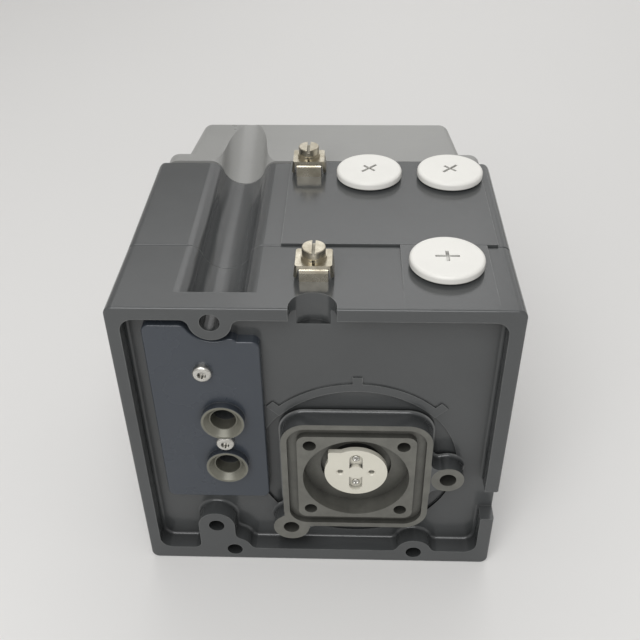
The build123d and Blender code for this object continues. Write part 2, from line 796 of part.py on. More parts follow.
# Front cover: a wedge-shaped shell on a flange with four screw ears and a window.
with BuildPart() as front_cover:
    for depth, draft in ((cover_flange_end, 0), (cover_end, 1)):
        low = cover_low + draft * cover_draft_low
        high = cover_high - draft * cover_draft_top
        with BuildSketch(rear_plane(depth)):
            with Locations((0, (low + high) / 2)):
                RectangleRounded(2 * (cover_half_width - draft * cover_draft_side), high - low,
                                 cover_block_corner)
    loft()
    fillet(front_cover.faces().sort_by(Axis.Y)[-1].outer_wire().edges(), radius=cover_front_edge)
    with BuildSketch(rear_plane(cover_start)):
        with Locations((0, (cover_low + cover_high) / 2)):
            RectangleRounded(2 * cover_flange_half, cover_high - cover_low, cover_corner)
    extrude(amount=-cover_flange_thickness)
    with BuildSketch(rear_plane(cover_start)):
        with Locations(*cover_screw_spots):
            Circle(cover_ear_radius)
    extrude(amount=-(cover_flange_thickness + cover_ear_rise))
    with BuildSketch(rear_plane(cover_start)):
        add(channel_face(cover_high))
    extrude(amount=cover_end - cover_start + channel_rise, dir=channel_slope, mode=Mode.SUBTRACT)
    add(cover_space.part, mode=Mode.SUBTRACT)

    # Counterbored screw holes
    with BuildSketch(rear_plane(cover_start)):
        with Locations(*cover_screw_spots):
            Circle(cover_screw_radius + free_gap)
    extrude(amount=-(cover_flange_thickness + cover_ear_rise), mode=Mode.SUBTRACT)
    with BuildSketch(rear_plane(cover_flange_end + cover_ear_rise)):
        with Locations(*cover_screw_spots):
            Circle(cover_screw_head_radius + slip)
    extrude(amount=cover_screw_head_height, mode=Mode.SUBTRACT)

    # Window with a rebate for the pane on the inside
    with BuildSketch(rear_plane(cover_end)):
        with Locations((0, window_z)):
            RectangleRounded(window_width, window_height, window_corner)
    extrude(amount=cover_front, mode=Mode.SUBTRACT)
    with BuildSketch(rear_plane(cover_end - cover_front)):
        with Locations((0, window_z)):
            RectangleRounded(window_width + 2 * pane_margin, window_height + 2 * pane_margin, window_corner)
    extrude(amount=-pane_thickness, mode=Mode.SUBTRACT)
front_cover.part.label = "front_cover"
export_step(front_cover.part, "parts/front_cover.step")

# Clear pane behind the window.
with BuildPart() as window_pane:
    with BuildSketch(rear_plane(cover_end - cover_front)):
        with Locations((0, window_z)):
            RectangleRounded(window_width + 2 * (pane_margin - slip), window_height + 2 * (pane_margin - slip),
                             window_corner - slip)
    extrude(amount=-pane_thickness)
window_pane.part.label = "window_pane"
export_step(window_pane.part, "parts/window_pane.step")


def axial_screws(spots, shank_start, seat, shank_radius, head_radius, head_height, socket_radius):
    # Screws along Y, inserted from the cover side: shank up to the seat, then a socket head.
    with BuildPart() as screws:
        with BuildSketch(rear_plane(shank_start)):
            with Locations(*spots):
                Circle(shank_radius)
        extrude(amount=-(seat - shank_start))
        with BuildSketch(rear_plane(seat)):
            with Locations(*spots):
                Circle(head_radius)
        extrude(amount=-head_height)
        with BuildSketch(rear_plane(seat + head_height)):
            with Locations(*spots):
                RegularPolygon(socket_radius, 6)
        extrude(amount=head_height / 2, mode=Mode.SUBTRACT)
    return screws.part


cover_screws = axial_screws(cover_screw_spots, middle_end - cover_screw_bite,
                            cover_flange_end + cover_ear_rise - cover_screw_head_height, cover_screw_radius,
                            cover_screw_head_radius, cover_screw_head_height, cover_screw_radius)
cover_screws.label = "cover_screws"
export_step(cover_screws, "parts/cover_screws.step")

frame_screws = axial_screws(frame_screw_spots, seam - frame_screw_bite, partition_face, frame_screw_radius,
                            frame_screw_head_radius, frame_screw_head_height, hex_socket)
frame_screws.label = "frame_screws"
export_step(frame_screws, "parts/frame_screws.step")

# Port plate: a separate casting with two nipple seats, cut round the upper lobe.
with BuildPart() as port_plate:
    with BuildSketch(rear_plane(plate_face_depth)):
        add(plate_outline())
    extrude(amount=-(recess_depth - plate_face_depth))
    fillet(port_plate.faces().sort_by(Axis.Y)[0].outer_wire().edges(), radius=plate_edge)
    with BuildSketch(rear_plane(0)):
        with Locations(*port_spots):
            Circle(port_collar_radius)
    extrude(amount=-recess_depth)
    for spot in port_spots:
        with BuildSketch(rear_plane(0)):
            with Locations(spot):
                Circle(port_seat_radius)
        with BuildSketch(rear_plane(port_seat_depth)):
            with Locations(spot):
                Circle(port_seat_floor_radius)
        loft(mode=Mode.SUBTRACT)
    with BuildSketch(rear_plane(0)):
        with Locations(*port_spots):
            Circle(port_bore_radius)
    extrude(amount=-recess_depth, mode=Mode.SUBTRACT)
    with BuildSketch(rear_plane(plate_face_depth)):
        with Locations(*plate_screw_spots):
            Circle(plate_screw_radius + slip)
    extrude(amount=-(recess_depth - plate_face_depth), mode=Mode.SUBTRACT)
port_plate.part.label = "port_plate"
export_step(port_plate.part, "parts/port_plate.step")

# Two pan-head screws that hold the port plate.
with BuildPart() as port_plate_screws:
    with BuildSketch(rear_plane(plate_face_depth)):
        with Locations(*plate_screw_spots):
            Circle(plate_screw_radius)
    extrude(amount=-plate_screw_length)
    with BuildSketch(rear_plane(plate_face_depth)):
        with Locations(*plate_screw_spots):
            Circle(plate_screw_head_radius)
    extrude(amount=plate_screw_head_height)
    fillet(port_plate_screws.faces().sort_by(Axis.Y)[:2].edges(), radius=plate_screw_head_height / 2)
    with BuildSketch(rear_plane(plate_face_depth - plate_screw_head_height)):
        with Locations(*plate_screw_spots):
            RegularPolygon(drive_recess_radius, 6)
            RegularPolygon(drive_recess_radius, 6, rotation=30)
    extrude(amount=-drive_recess_depth, mode=Mode.SUBTRACT)
port_plate_screws.part.label = "port_plate_screws"
export_step(port_plate_screws.part, "parts/port_plate_screws.step")

# Seal rings under the port plate, one round each air passage.
with BuildPart() as port_seals:
    with BuildSketch(rear_plane(recess_depth)):
        with Locations(*port_spots):
            Circle(port_seal_radius)
            Circle(port_seal_radius - port_seal_width, mode=Mode.SUBTRACT)
    extrude(amount=-port_seal_sink)
port_seals.part.label = "port_seals"
export_step(port_seals.part, "parts/port_seals.step")

# Feedback coupling: a disc with a square-cornered nose and a slot that takes the flat of the valve stem.
with BuildPart() as feedback_coupling:
    with BuildSketch(rear_plane(coupling_face_depth)) as disc:
        with Locations((shaft_x - coupling_nose / 2, shaft_z + coupling_nose / 2)):
            Rectangle(coupling_nose, coupling_nose)
        fillet(disc.vertices().group_by(Axis.X)[0].sort_by(Axis.Y)[-1:], radius=coupling_nose_round)
        with Locations((shaft_x, shaft_z)):
            Circle(coupling_radius)
    extrude(amount=-coupling_thickness)
    with BuildSketch(rear_plane(coupling_face_depth + coupling_thickness)):
        with Locations((shaft_x, shaft_z)):
            Circle(coupling_hub_radius)
    hub_end = drive_well_depth - free_gap
    extrude(amount=-(hub_end - coupling_face_depth - coupling_thickness))
    with BuildSketch(rear_plane(coupling_face_depth)):
        with Locations((shaft_x, shaft_z)):
            SlotOverall(coupling_slot_length, coupling_slot_width, rotation=90)
            Circle(coupling_hub_land, mode=Mode.SUBTRACT)
    extrude(amount=-coupling_slot_depth, mode=Mode.SUBTRACT)
    with BuildSketch(rear_plane(coupling_face_depth)):
        with Locations((shaft_x - coupling_hole_reach, shaft_z), (shaft_x + coupling_hole_reach, shaft_z)):
            Circle(coupling_hole_radius)
    extrude(amount=-coupling_hole_sink, mode=Mode.SUBTRACT)
    for reach in (-coupling_hole_reach, coupling_hole_reach):
        with Locations(Location((shaft_x + reach, rear_y + coupling_face_depth + coupling_hole_rim / 2, shaft_z),
                                (90, 0, 0))):
            Cone(coupling_hole_radius, coupling_hole_radius + coupling_hole_rim, coupling_hole_rim,
                 mode=Mode.SUBTRACT)
    with BuildSketch(rear_plane(shaft_start_depth)):
        with Locations((shaft_x, shaft_z)):
            Circle(shaft_radius)
    extrude(amount=-(hub_end - shaft_start_depth), mode=Mode.SUBTRACT)
feedback_coupling.part.label = "feedback_coupling"
export_step(feedback_coupling.part, "parts/feedback_coupling.step")

# Feedback shaft with a groove for its circlip.
with BuildPart() as feedback_shaft:
    with BuildSketch(rear_plane(shaft_start_depth)):
        with Locations((shaft_x, shaft_z)):
            Circle(shaft_radius)
    extrude(amount=-(shaft_end_depth - shaft_start_depth))
    with BuildSketch(rear_plane(bearing_boss_end + free_gap)):
        with Locations((shaft_x, shaft_z)):
            Circle(shaft_radius)
            Circle(shaft_radius - circlip_groove, mode=Mode.SUBTRACT)
    extrude(amount=-circlip_thickness, mode=Mode.SUBTRACT)
feedback_shaft.part.label = "feedback_shaft"
export_step(feedback_shaft.part, "parts/feedback_shaft.step")

# Circlip that keeps the shaft from sliding out towards the valve.
with BuildPart() as shaft_circlip:
    with BuildSketch(rear_plane(bearing_boss_end + free_gap)):
        with Locations((shaft_x, shaft_z)):
            Circle(circlip_radius)
            Circle(shaft_radius - circlip_groove, mode=Mode.SUBTRACT)
        with Locations((shaft_x, shaft_z + circlip_radius / 2)):
            Rectangle(circlip_gap, circlip_radius, mode=Mode.SUBTRACT)
    extrude(amount=-circlip_thickness)
shaft_circlip.part.label = "shaft_circlip"
export_step(shaft_circlip.part, "parts/shaft_circlip.step")

# Two plain bushes in the bearing boss.
with BuildPart() as shaft_bushes:
    for start in (drive_well_depth + seal_length, bearing_boss_end - bearing_length):
        with BuildSketch(rear_plane(start)):
            with Locations((shaft_x, shaft_z)):
                Circle(bearing_radius)
                Circle(shaft_radius + running, mode=Mode.SUBTRACT)
        extrude(amount=-bearing_length)
shaft_bushes.part.label = "shaft_bushes"
export_step(shaft_bushes.part, "parts/shaft_bushes.step")

# Lip seal in front of the bushes.
with BuildPart() as shaft_seal:
    with BuildSketch(rear_plane(drive_well_depth)):
        with Locations((shaft_x, shaft_z)):
            Circle(seal_radius)
            Circle(shaft_radius + running, mode=Mode.SUBTRACT)
    extrude(amount=-seal_length)
shaft_seal.part.label = "shaft_seal"
export_step(shaft_seal.part, "parts/shaft_seal.step")

# Cup on the inner end of the shaft, and the magnet in it.
magnet_face = shaft_end_depth - magnet_holder_grip + magnet_holder_length
with BuildPart() as magnet_holder:
    with BuildSketch(rear_plane(shaft_end_depth - magnet_holder_grip)):
        with Locations((shaft_x, shaft_z)):
            Circle(magnet_holder_radius)
    extrude(amount=-magnet_holder_length)
    with BuildSketch(rear_plane(shaft_end_depth - magnet_holder_grip)):
        with Locations((shaft_x, shaft_z)):
            Circle(shaft_radius)
    extrude(amount=-magnet_holder_grip, mode=Mode.SUBTRACT)
    with BuildSketch(rear_plane(magnet_face)):
        with Locations((shaft_x, shaft_z)):
            Circle(magnet_radius)
    extrude(amount=magnet_length, mode=Mode.SUBTRACT)
magnet_holder.part.label = "magnet_holder"
export_step(magnet_holder.part, "parts/magnet_holder.step")

with BuildPart() as magnet:
    with BuildSketch(rear_plane(magnet_face)):
        with Locations((shaft_x, shaft_z)):
            Circle(magnet_radius)
    extrude(amount=magnet_length)
magnet.part.label = "magnet"
export_step(magnet.part, "parts/magnet.step")

# Main board, its screws and the position sensor on its rear side, opposite the magnet.
with BuildPart() as main_board:
    with BuildSketch(rear_plane(board_depth)):
        with Locations((0, board_z)):
            RectangleRounded(board_width, board_height, cavity_fillet)
        with Locations(*board_spots):
            Circle(small_screw_radius + slip, mode=Mode.SUBTRACT)
    extrude(amount=-board_thickness)
main_board.part.label = "main_board"
export_step(main_board.part, "parts/main_board.step")

board_screws = axial_screws(board_spots, board_depth - small_screw_bite, board_face, small_screw_radius,
                            small_head_radius, small_head_height, small_screw_radius)
board_screws.label = "board_screws"
export_step(board_screws, "parts/board_screws.step")

with BuildPart() as position_sensor:
    with BuildSketch(rear_plane(board_depth)):
        with Locations((shaft_x, shaft_z)):
            Rectangle(sensor_size, sensor_size)
    extrude(amount=sensor_height)
    chamfer(position_sensor.faces().sort_by(Axis.Y)[0].edges(), length=rim_edge)
position_sensor.part.label = "position_sensor"
export_step(position_sensor.part, "parts/position_sensor.step")

# Terminal block on the main board, with wire entries facing up and clamping screws facing the cover.
terminal_width = terminal_count * terminal_pitch
terminal_xs = [terminal_x + (i - (terminal_count - 1) / 2) * terminal_pitch for i in range(terminal_count)]
with BuildPart() as terminal_block:
    with BuildSketch(rear_plane(board_face)):
        with Locations((terminal_x, terminal_z)):
            Rectangle(terminal_width, terminal_height)
    extrude(amount=-terminal_length)
    with BuildSketch(top_plane(terminal_z + terminal_height / 2)):
        for x in terminal_xs:
            with Locations((x, board_face + terminal_length / 3)):
                Circle(terminal_entry_radius)
    extrude(amount=-terminal_height / 2, mode=Mode.SUBTRACT)
    with BuildSketch(rear_plane(board_face + terminal_length)):
        for x in terminal_xs:
            with Locations((x, terminal_z)):
                Circle(terminal_screw_radius + slip)
    extrude(amount=terminal_length / 3, mode=Mode.SUBTRACT)
terminal_block.part.label = "terminal_block"
export_step(terminal_block.part, "parts/terminal_block.step")

with BuildPart() as terminal_screws:
    with BuildSketch(rear_plane(board_face + 2 * terminal_length / 3)):
        for x in terminal_xs:
            with Locations((x, terminal_z)):
                Circle(terminal_screw_radius)
    extrude(amount=-terminal_length / 4)
    with BuildSketch(rear_plane(board_face + 2 * terminal_length / 3 + terminal_length / 4)):
        for x in terminal_xs:
            with Locations((x, terminal_z)):
                Rectangle(2 * terminal_screw_radius, terminal_screw_radius / 3)
    extrude(amount=terminal_screw_radius / 2, mode=Mode.SUBTRACT)
terminal_screws.part.label = "terminal_screws"
export_step(terminal_screws.part, "parts/terminal_screws.step")

# Display carrier on four posts that stand on the main board.
with BuildPart() as display_carrier:
    with BuildSketch(rear_plane(carrier_depth)):
        with Locations((0, carrier_z)):
            RectangleRounded(carrier_width, carrier_height, carrier_corner)
    extrude(amount=-carrier_thickness)
    with BuildSketch(rear_plane(board_face)):
        with Locations(*carrier_spots):
            Circle(carrier_post_radius)
    extrude(amount=-(carrier_depth - board_face))
    with BuildSketch(rear_plane(carrier_face)):
        with Locations((knob_x, knob_z)):
            Circle(knob_stem_radius + screw_slip)
    extrude(amount=carrier_thickness, mode=Mode.SUBTRACT)
display_carrier.part.label = "display_carrier"
export_step(display_carrier.part, "parts/display_carrier.step")

with BuildPart() as display:
    with BuildSketch(rear_plane(carrier_face)):
        with Locations((0, window_z)):
            Rectangle(display_width, display_height)
    extrude(amount=-display_thickness)
display.part.label = "display"
export_step(display.part, "parts/display.step")

# Selector knob beside the display, with a fluted grip.
with BuildPart() as selector_knob:
    with BuildSketch(rear_plane(carrier_face + free_gap)):
        with Locations((knob_x, knob_z)):
            Circle(knob_radius)
            with PolarLocations(knob_radius, knob_grip_count):
                Circle(knob_grip_radius, mode=Mode.SUBTRACT)
    extrude(amount=-knob_length)
    with BuildSketch(rear_plane(carrier_depth + free_gap)):
        with Locations((knob_x, knob_z)):
            Circle(knob_stem_radius)
    extrude(amount=-carrier_thickness)
selector_knob.part.label = "selector_knob"
export_step(selector_knob.part, "parts/selector_knob.step")

# Pneumatic block behind the ports, with its two screws.
with BuildPart() as pneumatic_block:
    with BuildSketch(rear_plane(floor_back)):
        with Locations((port_x, (block_low + block_high) / 2)):
            RectangleRounded(block_width, block_high - block_low, block_corner)
    extrude(amount=-block_length)
    with BuildSketch(rear_plane(floor_back)):
        with Locations(*port_spots):
            Circle(port_bore_radius)
    extrude(amount=-(port_bore_depth - floor_back), mode=Mode.SUBTRACT)
    with BuildSketch(rear_plane(floor_back)):
        with Locations(*block_spots):
            Circle(block_screw_radius + slip)
    extrude(amount=-block_length, mode=Mode.SUBTRACT)
pneumatic_block.part.label = "pneumatic_block"
export_step(pneumatic_block.part, "parts/pneumatic_block.step")

block_screws = axial_screws(block_spots, floor_back - floor_thickness / 2, block_face, block_screw_radius,
                            plate_screw_head_radius, plate_screw_head_height, drive_recess_radius)
block_screws.label = "block_screws"
export_step(block_screws, "parts/block_screws.step")

# Current-to-pressure converter: a round housing with a smaller cap.
with BuildPart() as pressure_converter:
    with BuildSketch(rear_plane(floor_back)):
        with Locations((converter_x, converter_z)):
            Circle(converter_radius)
    extrude(amount=-converter_length)
    with BuildSketch(rear_plane(floor_back + converter_length)):
        with Locations((converter_x, converter_z)):
            Circle(converter_cap_radius)
    extrude(amount=-converter_cap_length)
    chamfer(pressure_converter.faces().sort_by(Axis.Y)[-1].edges(), length=rim_edge)
pressure_converter.part.label = "pressure_converter"
export_step(pressure_converter.part, "parts/pressure_converter.step")


def plug(x, depth, turn):
    # Mushroom-headed plug with a cross recess, in a conduit port with its axis along Z.
    seat = body_height + plug_seal_height
    with BuildPart() as body:
        with BuildSketch(top_plane(seat)):
            with Locations((x, depth)):
                Circle(plug_head_radius)
        extrude(amount=plug_head_height)
        fillet(body.faces().sort_by(Axis.Z)[-1].edges(), radius=plug_head_round)
        fillet(body.faces().sort_by(Axis.Z)[0].edges(), radius=plug_rim_round)
        with BuildSketch(top_plane(seat)):
            with Locations((x, depth)):
                Circle(port_thread_radius - screw_slip)
        extrude(amount=-(plug_seal_height + plug_shank_length))
        with BuildSketch(top_plane(seat - plug_seal_height - plug_shank_length)):
            with Locations((x, depth)):
                Circle(plug_core_radius)
        extrude(amount=plug_shank_length, mode=Mode.SUBTRACT)
        with BuildSketch(top_plane(seat + plug_head_height)):
            with Locations((x, depth)):
                Rectangle(plug_cross_long, plug_cross_width, rotation=turn)
                Rectangle(plug_cross_width, plug_cross_short, rotation=turn)
        extrude(amount=-plug_cross_depth, mode=Mode.SUBTRACT)
    return body.part


def plug_seal(x, depth):
    # Flat seal ring under a plug head.
    with BuildPart() as ring:
        with BuildSketch(top_plane(body_height)):
            with Locations((x, depth)):
                Circle(plug_seal_radius)
                Circle(port_thread_radius, mode=Mode.SUBTRACT)
        extrude(amount=plug_seal_height)
    return ring.part


rear_plug = plug(rear_port_x, rear_port_depth, 0)
rear_plug.label = "rear_plug"
export_step(rear_plug, "parts/rear_plug.step")
left_plug = plug(left_port_x, middle_port_depth, 45)
left_plug.label = "left_plug"
export_step(left_plug, "parts/left_plug.step")
right_plug = plug(right_port_x, middle_port_depth, 45)
right_plug.label = "right_plug"
export_step(right_plug, "parts/right_plug.step")

rear_plug_seal = plug_seal(rear_port_x, rear_port_depth)
rear_plug_seal.label = "rear_plug_seal"
export_step(rear_plug_seal, "parts/rear_plug_seal.step")
left_plug_seal = plug_seal(left_port_x, middle_port_depth)
left_plug_seal.label = "left_plug_seal"
export_step(left_plug_seal, "parts/left_plug_seal.step")
right_plug_seal = plug_seal(right_port_x, middle_port_depth)
right_plug_seal.label = "right_plug_seal"
export_step(right_plug_seal, "parts/right_plug_seal.step")


def clamp_saddle(x, depth, base):
    # Lower part of a ground terminal: a strip rolled over at both ends, with its two feet on the housing.
    with BuildPart() as saddle:
        with BuildSketch(Plane(origin=(x, rear_y + depth, base), x_dir=(0, 1, 0), z_dir=(1, 0, 0))) as strip:
            with Locations((0, clamp_height / 2)):
                Rectangle(saddle_length, clamp_height)
            fillet(strip.vertices().group_by(Axis.Y)[-1], radius=saddle_round)
            offset(amount=-saddle_sheet, mode=Mode.SUBTRACT)
            with Locations((0, saddle_sheet / 2)):
                Rectangle(saddle_length - 2 * saddle_sheet, saddle_sheet, mode=Mode.SUBTRACT)
        extrude(amount=saddle_width / 2, both=True)
        with BuildSketch(top_plane(base + clamp_height)):
            with Locations((x, depth)):
                Circle(clamp_screw_radius + free_gap)
        extrude(amount=-saddle_sheet, mode=Mode.SUBTRACT)
    return saddle.part


def clamp_bracket(x, depth, base):
    # Upper part: a plate with clipped corners and two flared legs beside the saddle.
    half = clamp_width / 2
    with BuildPart() as bracket:
        with BuildSketch(Plane(origin=(x, rear_y + depth, base + clamp_height), x_dir=(1, 0, 0),
                               z_dir=(0, -1, 0))):
            with BuildLine():
                Polyline((-half, clamp_sheet), (half, clamp_sheet), (half + clamp_flare, -clamp_leg_drop),
                         (half + clamp_flare - clamp_leg, -clamp_leg_drop), (half - clamp_leg, 0),
                         (clamp_leg - half, 0), (clamp_leg - half - clamp_flare, -clamp_leg_drop),
                         (-half - clamp_flare, -clamp_leg_drop), close=True)
            make_face()
        extrude(amount=clamp_length / 2, both=True)
        with BuildSketch(top_plane(base + clamp_height + clamp_sheet)):
            with Locations((x, depth)):
                Circle(clamp_screw_radius + free_gap)
        extrude(amount=-clamp_sheet, mode=Mode.SUBTRACT)
        clipped = half + clamp_flare - clamp_corner
        with BuildSketch(top_plane(base + clamp_height + clamp_sheet)):
            for a in (-1, 1):
                for b in (-1, 1):
                    with BuildLine():
                        Polyline((x + a * clipped, depth + b * clamp_length),
                                 (x + a * clipped, depth + b * clamp_length / 2),
                                 (x + a * (half + clamp_flare), depth + b * (clamp_length / 2 - clamp_corner)),
                                 (x + a * clamp_width, depth + b * (clamp_length / 2 - clamp_corner)),
                                 (x + a * clamp_width, depth + b * clamp_length), close=True)
                    make_face()
        extrude(amount=-(clamp_sheet + clamp_leg_drop), mode=Mode.SUBTRACT)
    return bracket.part


def spring_washer(x, depth, base):
    # Split ring under the screw head, its split towards the mounting face.
    with BuildPart() as ring:
        with BuildSketch(top_plane(base + clamp_height + clamp_sheet)):
            with Locations((x, depth)):
                Circle(spring_washer_radius)
                Circle(clamp_screw_radius + free_gap, mode=Mode.SUBTRACT)
            with Locations((x, depth - spring_washer_radius / 2)):
                Rectangle(spring_washer_split, spring_washer_radius, mode=Mode.SUBTRACT)
        extrude(amount=spring_washer_height)
    return ring.part


def clamp_screw(x, depth, base):
    # Cheese-head screw with a straight slot.
    seat = base + clamp_height + clamp_sheet + spring_washer_height
    with BuildPart() as screw:
        with BuildSketch(top_plane(seat)):
            with Locations((x, depth)):
                Circle(clamp_head_radius)
        extrude(amount=clamp_head_height)
        fillet(screw.faces().sort_by(Axis.Z)[-1].edges(), radius=rim_edge / 2)
        with BuildSketch(top_plane(seat)):
            with Locations((x, depth)):
                Circle(clamp_screw_radius)
        extrude(amount=-clamp_screw_length)
        with BuildSketch(top_plane(seat + clamp_head_height)):
            with Locations((x, depth)):
                Rectangle(clamp_slot_width, 2 * clamp_head_radius)
        extrude(amount=-clamp_slot_depth, mode=Mode.SUBTRACT)
    return screw.part


near_base = body_height - top_draft * (near_clamp_depth - saddle_length / 2) / seam
near_clamp_saddle = clamp_saddle(near_clamp_x, near_clamp_depth, near_base)
near_clamp_saddle.label = "near_clamp_saddle"
export_step(near_clamp_saddle, "parts/near_clamp_saddle.step")
near_clamp_bracket = clamp_bracket(near_clamp_x, near_clamp_depth, near_base)
near_clamp_bracket.label = "near_clamp_bracket"
export_step(near_clamp_bracket, "parts/near_clamp_bracket.step")
near_clamp_washer = spring_washer(near_clamp_x, near_clamp_depth, near_base)
near_clamp_washer.label = "near_clamp_washer"
export_step(near_clamp_washer, "parts/near_clamp_washer.step")
near_clamp_screw = clamp_screw(near_clamp_x, near_clamp_depth, near_base)
near_clamp_screw.label = "near_clamp_screw"
export_step(near_clamp_screw, "parts/near_clamp_screw.step")

far_clamp_saddle = clamp_saddle(far_clamp_x, far_clamp_depth, body_height)
far_clamp_saddle.label = "far_clamp_saddle"
export_step(far_clamp_saddle, "parts/far_clamp_saddle.step")
far_clamp_bracket = clamp_bracket(far_clamp_x, far_clamp_depth, body_height)
far_clamp_bracket.label = "far_clamp_bracket"
export_step(far_clamp_bracket, "parts/far_clamp_bracket.step")
far_clamp_washer = spring_washer(far_clamp_x, far_clamp_depth, body_height)
far_clamp_washer.label = "far_clamp_washer"
export_step(far_clamp_washer, "parts/far_clamp_washer.step")
far_clamp_screw = clamp_screw(far_clamp_x, far_clamp_depth, body_height)
far_clamp_screw.label = "far_clamp_screw"
export_step(far_clamp_screw, "parts/far_clamp_screw.step")
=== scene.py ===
import json
import math
import bmesh
import bpy
import numpy as np
from mathutils import Matrix, Vector


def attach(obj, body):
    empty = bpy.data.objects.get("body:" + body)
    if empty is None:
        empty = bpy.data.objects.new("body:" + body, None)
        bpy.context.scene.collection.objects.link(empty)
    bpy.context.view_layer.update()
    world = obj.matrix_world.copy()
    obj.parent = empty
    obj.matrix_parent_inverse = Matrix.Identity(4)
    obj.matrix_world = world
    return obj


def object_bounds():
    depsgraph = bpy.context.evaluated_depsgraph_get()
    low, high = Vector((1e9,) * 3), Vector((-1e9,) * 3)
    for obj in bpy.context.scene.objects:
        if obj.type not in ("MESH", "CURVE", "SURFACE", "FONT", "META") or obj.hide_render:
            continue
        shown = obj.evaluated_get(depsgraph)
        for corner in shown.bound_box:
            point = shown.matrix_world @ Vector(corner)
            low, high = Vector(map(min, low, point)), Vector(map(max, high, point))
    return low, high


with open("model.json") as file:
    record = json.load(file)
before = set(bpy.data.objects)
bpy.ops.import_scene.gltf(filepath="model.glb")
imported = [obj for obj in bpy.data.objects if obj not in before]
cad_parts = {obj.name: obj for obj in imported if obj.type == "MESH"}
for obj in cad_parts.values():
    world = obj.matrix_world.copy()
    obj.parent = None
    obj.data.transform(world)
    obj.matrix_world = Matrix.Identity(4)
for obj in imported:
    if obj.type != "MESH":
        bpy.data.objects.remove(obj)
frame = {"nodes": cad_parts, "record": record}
cadLow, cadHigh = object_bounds()
nodes = frame["nodes"]
rearY = cadLow[1]  # the mounting face
print("frame loaded:", len(nodes), "nodes")


cameraSettings = {
    "place": (0.01121, -0.2961, 0.3002),
    "yaw": -0.04085,
    "pitch": 0.65557,
    "roll": -0.01483,
    "focalPixels": 853.87,
    "imagePixels": 640,
    "sensor": 36.0,
    "clipStart": 0.01,
}


def makeCamera(cfg):
    # the view axis from yaw and pitch, then the image turned about it by the roll
    yaw, pitch, roll = cfg["yaw"], cfg["pitch"], cfg["roll"]
    forward = Vector((math.sin(yaw) * math.cos(pitch), math.cos(yaw) * math.cos(pitch), -math.sin(pitch)))
    side = Vector((math.cos(yaw), -math.sin(yaw), 0.0))
    up = side.cross(forward)
    right = side * math.cos(roll) + up * math.sin(roll)
    top = up * math.cos(roll) - side * math.sin(roll)
    data = bpy.data.cameras.new("viewCamera")
    data.sensor_width = cfg["sensor"]
    data.lens = cfg["sensor"] * cfg["focalPixels"] / cfg["imagePixels"]
    data.clip_start = cfg["clipStart"]
    camera = bpy.data.objects.new("viewCamera", data)
    turn = Matrix((right, top, -forward)).transposed().to_4x4()
    camera.matrix_world = Matrix.Translation(Vector(cfg["place"])) @ turn
    bpy.context.scene.collection.objects.link(camera)
    bpy.context.scene.camera = camera


makeCamera(cameraSettings)
print("camera set")


floorSettings = {
    "front": -5.0, "back": 0.75, "halfWidth": 5.0, "bend": 0.5, "bendSteps": 24, "height": 1.6,
    "color": (0.74, 0.733, 0.722), "shift": 0.015, "cloudScale": 1.4, "rough": 0.75,
}


def surfaceMesh(name, grid, closed=False):
    # grid is an array (rows, columns, 3) of points; neighbours are joined by four-sided faces,
    # and a closed grid also joins its last column to its first
    rows, columns = grid.shape[:2]
    a, b = np.meshgrid(np.arange(rows - 1), np.arange(columns if closed else columns - 1), indexing="ij")
    nextB = (b + 1) % columns
    low, high = a * columns, (a + 1) * columns
    quads = np.stack([low + b, high + b, high + nextB, low + nextB], -1).reshape(-1, 4)
    mesh = bpy.data.meshes.new(name)
    mesh.from_pydata(grid.reshape(-1, 3).tolist(), [], quads.tolist())
    mesh.polygons.foreach_set("use_smooth", np.full(len(mesh.polygons), True))
    mesh.update()
    obj = bpy.data.objects.new(name, mesh)
    bpy.context.scene.collection.objects.link(obj)
    return obj


def makeFloor(cfg):
    # a flat floor, a quarter turn of radius bend and an upright wall, carried along X
    t = np.linspace(0.0, math.pi / 2, cfg["bendSteps"])
    y = np.concatenate([[cfg["front"]], cfg["back"] + cfg["bend"] * np.sin(t), [cfg["back"] + cfg["bend"]]])
    z = np.concatenate([[0.0], cfg["bend"] * (1 - np.cos(t)), [cfg["height"]]])
    x = np.linspace(cfg["halfWidth"], -cfg["halfWidth"], 3)
    grid = np.stack(np.broadcast_arrays(x[None, :], y[:, None], z[:, None]), -1)
    return surfaceMesh("studioFloor", grid)


def put(tree, kind, inputs=None, **properties):
    # adds one node, sets its properties, and links or fills the inputs that are named or numbered
    node = tree.nodes.new(kind)
    for key, value in properties.items():
        setattr(node, key, value)
    for key, value in (inputs or {}).items():
        if isinstance(value, bpy.types.NodeSocket):
            tree.links.new(value, node.inputs[key])
        else:
            node.inputs[key].default_value = value
    return node


def calc(tree, operation, a, b=0.0, clamp=False):
    return put(tree, "ShaderNodeMath", {0: a, 1: b}, operation=operation, use_clamp=clamp).outputs[0]


def noise(tree, place, scale, detail=2.0, roughness=0.5):
    node = put(tree, "ShaderNodeTexNoise", {"Vector": place, "Scale": scale, "Detail": detail,
                                            "Roughness": roughness})
    return node.outputs["Fac"]


# the part of a pattern's values over which its effect comes in
bands = {"cloud": (0.3, 0.7), "speck": (0.62, 0.75), "rub": (0.42, 0.6), "stain": (0.35, 0.7),
         "dust": (0.6, 0.75), "smear": (0.4, 0.7), "paintedRecessShade": (0.25, 0.8)}


def spread(tree, value, band, toLow=0.0, toHigh=1.0):
    # the value's way through the band, moved to between toLow and toHigh and held there
    low, high = bands[band]
    return put(tree, "ShaderNodeMapRange", {0: value, 1: low, 2: high, 3: toLow, 4: toHigh}).outputs[0]


def blendColor(tree, factor, a, b):
    # inputs 6 and 7 and output 2 of the mix node are its colours
    return put(tree, "ShaderNodeMix", {"Factor": factor, 6: a, 7: b}, data_type="RGBA").outputs[2]


